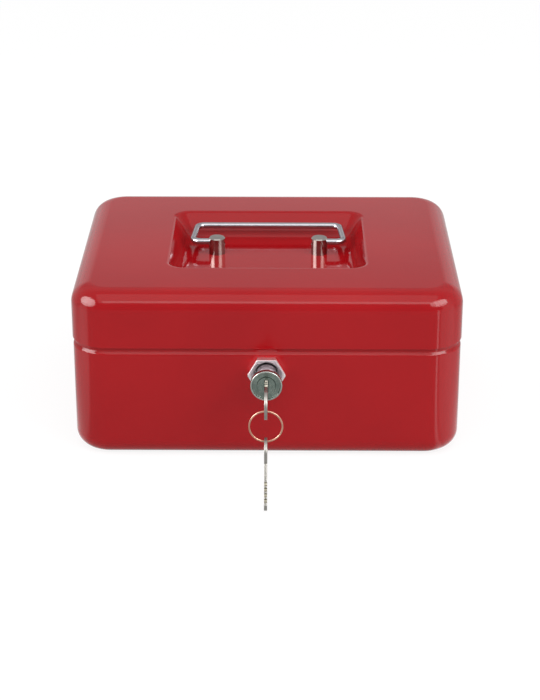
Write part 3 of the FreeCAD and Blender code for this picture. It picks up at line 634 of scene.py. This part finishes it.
def spin(profile):
    tip_radius = 0.001
    return [lock_loop(lambda angle, r=radius: r, out) if radius > tip_radius
            else [(0.0, FRONT_WALL - out, LOCK_HEIGHT)] for radius, out in profile]


def hexagon(apothem, round_radius):
    """The radius of a six-sided outline with points at left and right and its corners turned."""
    def radius_at(angle):
        beside = angle % (math.pi / 3) - math.pi / 6
        return min(apothem / math.cos(beside), round_radius)
    return radius_at


# %% Bezel and sleeve
BEZEL_CORNER, BEZEL_OUT, SLEEVE_END = 9.8, 5.6, 17.2


def bezel_loops():
    apothem = BEZEL_CORNER * math.cos(math.pi / 6)
    outer = [lock_loop(hexagon(apothem - back, 9.6 - back), out)
             for back, out in rounded([(0.9, 0.0), (0.0, BEZEL_OUT, 0.2), (0.3, BEZEL_OUT)], 6)]
    inner = spin(rounded([(8.05, BEZEL_OUT), (7.95, 5.5, 0.1), (5.85, 2.6, 0.3), (5.85, -1.0),
                          (5.5, -1.0), (5.5, -2.0), (6.4, -2.0), (6.4, -SLEEVE_END),
                          (7.4, -SLEEVE_END), (7.4, 0.0)], 5))
    return outer + inner


bezel_mesh = skin("lock_bezel", bezel_loops(), ring=True)
set_piece(bezel_mesh, bezel_chrome, "base", "lock_chrome", "lock_housing")

# %% Head and barrel
head_profile = rounded([(5.47, 15.3), (8.0, 15.3, 0.5), (8.0, 18.3, 0.4), (7.2, 18.3, 0.2),
                        (6.85, 17.35, 0.2), (4.72, 17.35, 0.1), (4.72, 17.05), (5.47, 17.05)], 6)
set_piece(skin("lock_head_disc", spin(head_profile), ring=True), lock_satin, "plunger", "lock_chrome",
          "lock_head")
barrel_profile = rounded([(0.0, 0.95), (4.65, 0.95), (4.65, 17.0, 0.1), (5.42, 17.0, 0.1), (5.42, -2.1),
                          (6.3, -2.1), (6.3, -3.6), (3.85, -3.6), (3.85, -18.6, 0.6), (0.0, -18.6)], 5)
set_piece(skin("lock_barrel", spin(barrel_profile)), lock_bright, "plunger", "lock_chrome", "lock_plunger")

# %% [markdown]
# ## Keys
# A key is a flat blank with broken edges, so a filled 2D curve is the shortest way to it: one
# spline for the outline, one for the ring hole, an extrusion for the thickness and a small bevel
# for the edges. The curve becomes a mesh that is welded shut, gets its side view as a UV map, and
# is stood on edge in the lock or leaned outwards from the ring, with its tip just above the table.

# %% Key outline
BOW, NECK, BLADE, SHOULDER, LENGTH = 7.2, 4.0, 3.1, 20.0, 35.8
CUT_DEPTHS = (0.9, 1.5, 0.6, 1.2)
KEY_HALF, KEY_EDGE = 0.75, 0.14
RING_HOLE, RING_HOLE_AT = 2.5, 4.0
RING_Y, RING_Z, RING_RADIUS = -123.1, 38.15, 8.15


def key_outline():
    """The key's side view: the bow from its neck round its end, then the blade, then its cuts."""
    opening = math.asin(NECK / BOW)
    steps = 40
    angles = [opening + (2 * math.pi - 2 * opening) * step / steps for step in range(steps + 1)]
    outline = [(BOW + BOW * math.cos(angle), BOW * math.sin(angle)) for angle in angles]
    outline += [(SHOULDER, -NECK), (SHOULDER, -BLADE), (LENGTH - 2.2, -BLADE), (LENGTH, -0.9),
                (LENGTH, 0.9), (LENGTH - 2.2, BLADE)]
    for number in reversed(range(len(CUT_DEPTHS))):
        middle = SHOULDER + 3.0 + 2.7 * number
        floor = BLADE - CUT_DEPTHS[number]
        outline += [(middle + 1.0, BLADE), (middle + 0.35, floor),
                    (middle - 0.35, floor), (middle - 1.0, BLADE)]
    return outline + [(SHOULDER, BLADE), (SHOULDER, NECK)]


def hole_outline(steps=40):
    angles = [2 * math.pi * step / steps for step in range(steps)]
    return [(RING_HOLE_AT + RING_HOLE * math.cos(angle), RING_HOLE * math.sin(angle)) for angle in angles]


print("key outline:", len(key_outline()), "points")


# %% Key blanks
def make_key(name, stand):
    curve = bpy.data.curves.new(name + "_plan", "CURVE")
    curve.dimensions = "2D"
    curve.fill_mode = "BOTH"
    curve.extrude = KEY_HALF - KEY_EDGE
    curve.bevel_depth = KEY_EDGE
    curve.bevel_resolution = 2
    curve.offset = -KEY_EDGE
    for outline in (key_outline(), hole_outline()):
        spline = curve.splines.new("POLY")
        spline.points.add(len(outline) - 1)
        for point, (x, y) in zip(spline.points, outline):
            point.co = (x, y, 0.0, 1.0)
        spline.use_cyclic_u = True
    carrier = bpy.data.objects.new(name, curve)
    mesh = bpy.data.meshes.new_from_object(carrier)
    bpy.data.objects.remove(carrier)
    bpy.data.curves.remove(curve)
    mesh.name = name
    side_view = mesh.uv_layers.new(name="side_view")
    for loop in mesh.loops:
        x, y = mesh.vertices[loop.vertex_index].co.xy
        side_view.data[loop.index].uv = (x / 10, y / 10)
    upright = Matrix(((0, 0, 1, 0), (1, 0, 0, 0), (0, 1, 0, 0), (0, 0, 0, 1)))
    mesh.transform(Matrix.Scale(MM, 4) @ stand @ upright)
    return close_up(mesh)


LEAN = math.radians(29.8)
HANG_AT = 2.1
level_key = Matrix.Translation((0.0, RING_Y - RING_HOLE_AT, LOCK_HEIGHT))
bow_y = RING_Y + HANG_AT * math.sin(LEAN)
bow_z = RING_Z - RING_RADIUS + HANG_AT * math.cos(LEAN)
leaning_key = (Matrix.Translation((0.0, bow_y, bow_z))
               @ Matrix.Rotation(-math.pi / 2 - LEAN, 4, "X") @ Matrix.Rotation(math.pi, 4, "Y"))
set_piece(make_key("key_cut", level_key), key_nickel, "key", "key_nickel", "key")
set_piece(make_key("spare_key_cut", leaning_key), key_nickel, "spare_key", "key_nickel", "spare_key")

# %% [markdown]
# ## The split ring
# A key ring is a flat wire wound nearly twice, so that a key can be threaded on between the turns.
# A torus with a gap is only its outline. The tree winds a spiral of constant radius with a small
# rise, and sweeps a flattened circle along it. Normals held to the ring's axis keep the wire's
# flat side where it belongs.

# %% Key ring
wound_wire, ring_in, ring_out = new_tree("wound_wire", {
    "Mean Radius": "Float", "Turns": "Float", "Rise": "Float", "Wire Size": "Vector", "Steps": "Int"})
winding = tree_node(wound_wire, "GeometryNodeCurveSpiral", None, {
    "Resolution": ring_in.outputs["Steps"], "Rotations": ring_in.outputs["Turns"],
    "Start Radius": ring_in.outputs["Mean Radius"], "End Radius": ring_in.outputs["Mean Radius"],
    "Height": ring_in.outputs["Rise"]})
steady = tree_node(wound_wire, "GeometryNodeSetCurveNormal", {"mode": "Z_UP"}, {"Curve": winding})
round_wire = tree_node(wound_wire, "GeometryNodeCurvePrimitiveCircle", None, {
    "Resolution": 16, "Radius": 1.0})
flat_wire = tree_node(wound_wire, "GeometryNodeTransform", None, {
    "Geometry": round_wire, "Scale": ring_in.outputs["Wire Size"]})
coil = tree_node(wound_wire, "GeometryNodeCurveToMesh", None, {
    "Curve": steady, "Profile Curve": flat_wire, "Fill Caps": True})
end_tree(wound_wire, coil, ring_in, ring_out)

RING_RISE = 0.5
ring_mesh = grow("split_ring_coil", wound_wire, [(0, 0, 0)], [], {
    "Mean Radius": RING_RADIUS * MM, "Turns": 1.86, "Rise": RING_RISE * MM,
    "Wire Size": Vector((0.41, 0.24, 1.0)) * MM, "Steps": 80, "Material": ring_steel})
ring_place = Matrix.Translation(Vector((0.0, RING_Y + RING_RISE / 2, RING_Z)) * MM)
ring_turn = Matrix.Rotation(math.pi / 2, 4, "X") @ Matrix.Rotation(math.radians(-60), 4, "Z")
ring_mesh.transform(ring_place @ ring_turn)
set_piece(close_up(ring_mesh), ring_steel, "ring", "ring_steel", "key_ring")

# %% [markdown]
# ## The lock's spring
# Behind the plunger's collar sits a spring, which pushes the lock out again. The tree of the ring winds
# it too, with five turns of a round wire. A spring can't follow the plunger as a stiff piece does: its
# rear end stays at the cap of the sleeve while its front goes in with the collar. So it is squashed
# towards the cap, and keeps the share of its length that the plunger's full travel leaves.

# %% Plunger spring
SPRING_FRONT, SPRING_LENGTH, SPRING_WIRE = 4.2, 12.4, 0.3
spring_mesh = grow("plunger_spring_coil", wound_wire, [(0, 0, 0)], [], {
    "Mean Radius": 5.1 * MM, "Turns": 5.0, "Rise": SPRING_LENGTH * MM,
    "Wire Size": Vector((SPRING_WIRE, SPRING_WIRE, 1.0)) * MM, "Steps": 40, "Material": zinc})
spring_place = Matrix.Translation(Vector((0.0, FRONT_WALL + SPRING_FRONT, LOCK_HEIGHT)) * MM)
spring_mesh.transform(spring_place @ Matrix.Rotation(-math.pi / 2, 4, "X"))
spring = set_piece(close_up(spring_mesh), zinc, "base", "zinc_steel", "plunger_spring")
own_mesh(spring)

# %% [markdown]
# ## Rivets on the hinges
# Each hinge leaf is held by two rivets, painted over with the case. They are all the same low dome,
# so one small tree puts a flattened sphere on each point. The base's rivets and the lid's are two
# pieces, because the lid takes its own along.

# %% Hinge rivets
rivets, rivet_in, rivet_out = new_tree("rivet_heads", {"Size": "Vector"})
dome = tree_node(rivets, "GeometryNodeMeshUVSphere", None, {"Segments": 28, "Rings": 14, "Radius": 1.0})
heads = tree_node(rivets, "GeometryNodeInstanceOnPoints", None, {
    "Points": rivet_in.outputs["Geometry"], "Instance": dome, "Scale": rivet_in.outputs["Size"]})
end_tree(rivets, heads, rivet_in, rivet_out)

HINGE_AT, HINGE_HEIGHT = 55.0, 59.8
RIVET_ASIDE, RIVET_RISE = 8.0, 9.5
for body, face, rise in (("base", 80.6, -RIVET_RISE), ("lid", 80.9, RIVET_RISE)):
    spots = [(side * HINGE_AT + aside, face, HINGE_HEIGHT + rise)
             for side in (-1, 1) for aside in (-RIVET_ASIDE, RIVET_ASIDE)]
    rivet_mesh = grow(f"hinge_rivets_{body}", rivets, spots, [], {
        "Size": Vector((2.3, 0.85, 2.3)) * MM, "Material": red_enamel})
    set_piece(close_up(rivet_mesh), red_enamel, body, "red_paint")

# %% [markdown]
# ## Dress the pieces that stay as they are
# The CAD nodes whose edges are small or out of sight keep their own mesh and only take a finish.

# %% Finishes for the CAD nodes
DRESS = {
    "handle_post_left": post_turned["left"],
    "handle_post_right": post_turned["right"],
    "post_washers": zinc,
    "hinge_leaf_base_left": red_enamel,
    "hinge_leaf_base_right": red_enamel,
    "hinge_leaf_lid_left": red_enamel,
    "hinge_leaf_lid_right": red_enamel,
    "hinge_pin_left": zinc,
    "hinge_pin_right": zinc,
    "lock_nut": zinc,
    "lock_end_cap": zinc,
    "lid_catch": zinc,
    "lock_plug": lock_satin,
    "lock_wafers": wafer_brass,
    "coin_tray": tray_plastic,
    "tray_dividers": tray_plastic,
}
for name, material in DRESS.items():
    mesh = nodes[name].data
    mesh.materials.clear()
    mesh.materials.append(material)
print("dressed:", len(DRESS), "CAD nodes")

# %% [markdown]
# ## The white table
# The photograph has a clean white ground. The floor is a large plane that shows white to the
# camera and keeps a part of its own shading, so that the box still has a shadow to stand on. In
# the enamel the table looks darker in front of the box and paler at its left and right, with a
# clear edge on each rounded corner, as from white cards set up beside it, and a bright strip stood
# before the right one. No cards or strip are in the scene: for mirror rays the floor glows with
# those tones, a painted reflection of them and of a darker table in front. To all other light it
# is plain pale paper.

# %% Floor
def past_azimuth(finish, offset, azimuth, side, blur):
    """1 on the far side of an upright plane at an azimuth, counted from the front to the right."""
    around = math.radians(azimuth)
    across = (side * math.cos(around), side * math.sin(around), 0.0)
    return finish.mask(finish.vector("DOT_PRODUCT", offset, across, "Value"), -blur, blur)


floor_mesh = bpy.data.meshes.new("studio_floor")
floor_mesh.from_pydata([(-6, -6, 0), (6, -6, 0), (6, 6, 0), (-6, 6, 0)], [], [(0, 1, 2, 3)])
floor = bpy.data.objects.new("studio_floor", floor_mesh)
floor.location.z = -0.0002
bpy.context.scene.collection.objects.link(floor)
white = new_finish("studio_white")
camera_ray, mirror_ray, glass_ray = (
    white.add("ShaderNodeLightPath", output=f"Is {name} Ray")
    for name in ("Camera", "Glossy", "Transmission"))
glow = white.add("ShaderNodeEmission", None, {"Color": (1, 1, 1, 1), "Strength": 0.87})
shade = white.add("ShaderNodeBsdfDiffuse", None, {"Color": (0.14, 0.14, 0.14, 1)})
shown = white.add("ShaderNodeAddShader", None, {0: glow, 1: shade})
# painted reflections: for mirror rays only, the floor glows with the tones of cards and a strip beside the
# box
CORNER_X, CORNER_Y = 0.081, -0.061
from_left = white.vector("SUBTRACT", white.place, (-CORNER_X, CORNER_Y, 0.0))
from_right = white.vector("SUBTRACT", white.place, (CORNER_X, CORNER_Y, 0.0))
card_reflections = past_azimuth(white, from_right, 43.0, 1, 0.006).largest(
    past_azimuth(white, from_left, -62.0, -1, 0.006))
strip_reflection = past_azimuth(white, from_right, 33.0, 1, 0.004) - past_azimuth(white, from_right, 38.0, 1, 0.004)
# painted reflection tones: a darker table in front, cards paler near the box, a bright strip
MIRRORED_TABLE_FRONT, MIRRORED_CARD_NEAR, MIRRORED_CARD_FAR, MIRRORED_STRIP = (
    (tone, tone, tone, 1) for tone in (0.68, 1.5, 0.66, 3.4))
card_reflection_tone = white.mix(white.mask(white.part(white.place, "Y"), -0.11, 0.0), MIRRORED_CARD_NEAR, MIRRORED_CARD_FAR)
mirrored = white.add("ShaderNodeEmission", None, {
    "Color": white.mix(strip_reflection, white.mix(card_reflections, MIRRORED_TABLE_FRONT, card_reflection_tone), MIRRORED_STRIP), "Strength": 1.0})
paper = white.add("ShaderNodeBsdfDiffuse", None, {"Color": (0.80, 0.80, 0.80, 1)})
in_mirror = white.add("ShaderNodeMixShader", None, {
    0: mirror_ray.largest(glass_ray), 1: paper, 2: mirrored})
ground = white.add("ShaderNodeMixShader", None, {0: camera_ray, 1: in_mirror, 2: shown})
connect(white.tree, ground, white.tree.nodes["Material Output"].inputs["Surface"])
white.tree.nodes.remove(white.shader)
floor_mesh.materials.append(white.owner)
print("floor:", floor.name)

# %% [markdown]
# ## Studio light
# The room is read from the mirrors on the box. The dark front says that the space round the camera
# was dim, the paler sides that white panels stood at left and right, and the lid's top, which pales
# towards the back, shows a rear wall that is lighter low down. A white ceiling lights the recess.
# The lamps stand where the highlights on the rolled edges say they stood: a large soft box low at
# the left for the bright spot on the lid's left corner, another higher at the right, and a wide
# strip above the camera for the thin line along the lid's front edge. A weak screen overhead softens
# the recess. The highlights on the corners are larger and brighter than lamps at a plain level can
# make them, so two screens at left and right are seen in reflections only: with diffuse rays turned
# off they add nothing to the light that falls on the paint, and its colour stays as it is written.

# %% Room and lamps
room = Finish(bpy.data.worlds.new("studio_room"), "Background", "Generated")
DIM_FRONT = (0.45, 0.45, 0.46, 1)
PANEL_NEAR, PANEL_FAR = (1.55, 1.55, 1.55, 1), (0.80, 0.80, 0.80, 1)
REAR_LOW, REAR_HIGH = (0.80, 0.79, 0.80, 1), (0.43, 0.43, 0.44, 1)
CEILING = (0.75, 0.75, 0.75, 1)
rear, height = room.part(room.place, "Y"), room.part(room.place, "Z")
panels = past_azimuth(room, room.place, 50.0, 1, 0.04).largest(
    past_azimuth(room, room.place, -68.0, -1, 0.04))
panel = room.mix(room.mask(rear, -0.35, 0.25), PANEL_NEAR, PANEL_FAR)
walls = room.mix(panels, DIM_FRONT, panel)
rear_wall = room.mix(room.mask(height, 0.30, 0.385), REAR_LOW, REAR_HIGH)
all_round = room.mix(room.mask(rear, 0.55, 0.8), walls, rear_wall)
bpy.context.scene.world = room.surface(
    Color=room.mix(room.mask(height, 0.45, 0.85), all_round, CEILING), Strength=1.0)


def soft_box(name, azimuth, elevation, distance, width, height, power, gloss_only=False):
    """A lamp round the box: azimuth from the front towards the right, elevation above the table."""
    lamp = bpy.data.lights.new(name, "AREA")
    lamp.shape = "ELLIPSE" if gloss_only else "RECTANGLE"
    lamp.size = width
    lamp.size_y = height
    lamp.energy = power
    holder = bpy.data.objects.new(name, lamp)
    around, above = math.radians(azimuth), math.radians(elevation)
    level_x, level_y = math.sin(around) * math.cos(above), -math.cos(around) * math.cos(above)
    outward = Vector((level_x, level_y, math.sin(above)))
    holder.location = Vector((0.0, 0.0, 0.05)) + outward * distance
    holder.rotation_euler = outward.to_track_quat("Z", "Y").to_euler()
    holder.visible_camera = False
    holder.visible_diffuse = not gloss_only
    bpy.context.scene.collection.objects.link(holder)
    print("lamp:", name, [round(value, 2) for value in holder.location])


soft_box("soft_box_left", -68.0, 28.0, 1.4, 0.80, 0.60, 5.0)
soft_box("soft_box_right", 52.0, 35.0, 1.4, 0.90, 0.50, 6.0)
soft_box("strip_front", 0.0, 44.0, 1.6, 0.90, 0.30, 2.0)
soft_box("screen_above", 0.0, 62.0, 0.8, 0.90, 0.75, 2.1)
soft_box("screen_left", -68.0, 25.0, 1.4, 1.30, 1.0, 28.0, gloss_only=True)
soft_box("screen_right", 46.0, 34.0, 1.4, 1.30, 0.80, 13.0, gloss_only=True)

# %% [markdown]
# ## The camera
# The camera stands where the photograph was taken from: about a metre in front, looking down on
# the box. Its place, angle and lens were worked out from the box's edges in the photograph; the
# small shift puts the box where it sits in the frame.

# %% Camera
TILT = math.radians(22.61)
YAW = math.radians(0.5)
FOCAL_PIXELS = 1876.0
FRAME_WIDTH, FRAME_HEIGHT = 540.0, 700.0
CENTRE_PIXEL = (268.0, 316.79)
CAMERA_DISTANCE, LOOK_HEIGHT = 1.02774, 0.045
SENSOR_WIDTH = 36.0
camera_data = bpy.data.cameras.new("photo_camera")
camera = bpy.data.objects.new("photo_camera", camera_data)
back = Vector((math.sin(YAW) * math.cos(TILT), -math.cos(YAW) * math.cos(TILT), math.sin(TILT)))
camera.location = Vector((0, 0, LOOK_HEIGHT)) + back * CAMERA_DISTANCE
camera.rotation_euler = back.to_track_quat("Z", "Y").to_euler()
camera_data.sensor_fit = "HORIZONTAL"
camera_data.sensor_width = SENSOR_WIDTH
camera_data.lens = FOCAL_PIXELS / FRAME_WIDTH * SENSOR_WIDTH
camera_data.shift_x = (FRAME_WIDTH / 2 - CENTRE_PIXEL[0]) / FRAME_WIDTH
camera_data.shift_y = (CENTRE_PIXEL[1] - FRAME_HEIGHT / 2) / FRAME_WIDTH
camera_data.clip_start = 0.01
bpy.context.scene.collection.objects.link(camera)
bpy.context.scene.camera = camera
bpy.context.scene.view_settings.view_transform = "Standard"
print("camera:", [round(value, 4) for value in camera.location], "lens", round(camera_data.lens, 2))
